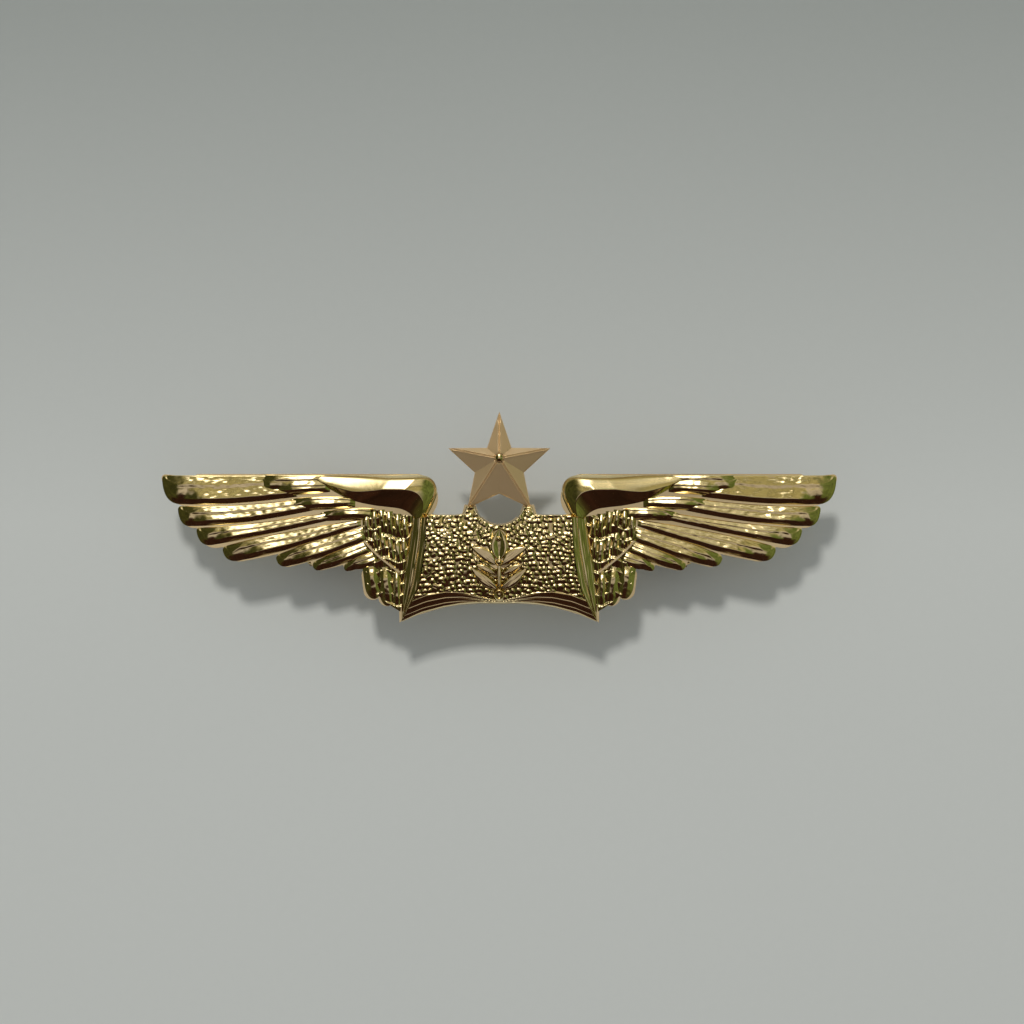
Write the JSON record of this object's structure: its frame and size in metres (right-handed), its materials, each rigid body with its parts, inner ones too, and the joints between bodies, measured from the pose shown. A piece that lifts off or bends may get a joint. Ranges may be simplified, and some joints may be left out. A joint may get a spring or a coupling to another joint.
{
  "type": "pilot wings pin",
  "caption": "Gold winged badge with layered feathers, a pebbled centre plaque with a leaf sprig, a faceted star above it, and nail posts with butterfly clutches behind.",
  "frame": {"origin": "on the surface under the clutches, below the middle of the badge's length and height", "axes": "+X along the wingspan to the wearer's left wing, +Y towards the star, +Z out of the badge's face, which lies up"},
  "size_m": [0.08, 0.025, 0.0095],
  "materials": {
    "plate_gold": "polished gold plating with fine scratches",
    "star_gold": "satin tan-gold plating",
    "solder": "dull soft solder, washed with gold",
    "post_gold": "gold-washed nail post",
    "clutch_brass": "bright rolled brass",
    "clutch_spring": "spring brass, slightly dull"
  },
  "bodies": {
    "badge": {"wings_plate": "plate_gold", "star": "star_gold", "star_solder_left": "solder", "star_solder_right": "solder", "centre_emblem": "plate_gold", "post_left": "post_gold", "post_right": "post_gold"},
    "clutch_left": {"clutch_cup_left": "clutch_brass", "clutch_base_left": "clutch_spring"},
    "wing_upper_left": {"clutch_wing_upper_left": "clutch_spring"},
    "wing_lower_left": {"clutch_wing_lower_left": "clutch_spring"},
    "clutch_right": {"clutch_cup_right": "clutch_brass", "clutch_base_right": "clutch_spring"},
    "wing_upper_right": {"clutch_wing_upper_right": "clutch_spring"},
    "wing_lower_right": {"clutch_wing_lower_right": "clutch_spring"}
  },
  "joints": [
    {"name": "clutch_left_pull", "type": "slide", "parent": "badge", "child": "clutch_left", "axis": [0, 0, -1], "range_m": [0, 0.008]},
    {"name": "wing_upper_left_squeeze", "type": "hinge", "parent": "clutch_left", "child": "wing_upper_left", "pos_m": [-0.02083, 0.00133, 0.0047], "axis": [-0.9903, -0.1392, 0], "range_deg": [0, 15], "stiffness_Nm_per_rad": 0.03, "springref_deg": -8.59},
    {"name": "wing_lower_left_squeeze", "type": "hinge", "parent": "clutch_left", "child": "wing_lower_left", "pos_m": [-0.02037, -0.00193, 0.0047], "axis": [0.9903, 0.1392, 0], "range_deg": [0, 15], "stiffness_Nm_per_rad": 0.03, "springref_deg": -8.59},
    {"name": "clutch_right_pull", "type": "slide", "parent": "badge", "child": "clutch_right", "axis": [0, 0, -1], "range_m": [0, 0.008]},
    {"name": "wing_upper_right_squeeze", "type": "hinge", "parent": "clutch_right", "child": "wing_upper_right", "pos_m": [0.02094, 0.00131, 0.0047], "axis": [-0.9781, 0.2079, 0], "range_deg": [0, 15], "stiffness_Nm_per_rad": 0.03, "springref_deg": -8.59},
    {"name": "wing_lower_right_squeeze", "type": "hinge", "parent": "clutch_right", "child": "wing_lower_right", "pos_m": [0.02026, -0.00191, 0.0047], "axis": [0.9781, -0.2079, 0], "range_deg": [0, 15], "stiffness_Nm_per_rad": 0.03, "springref_deg": -8.59}
  ]
}
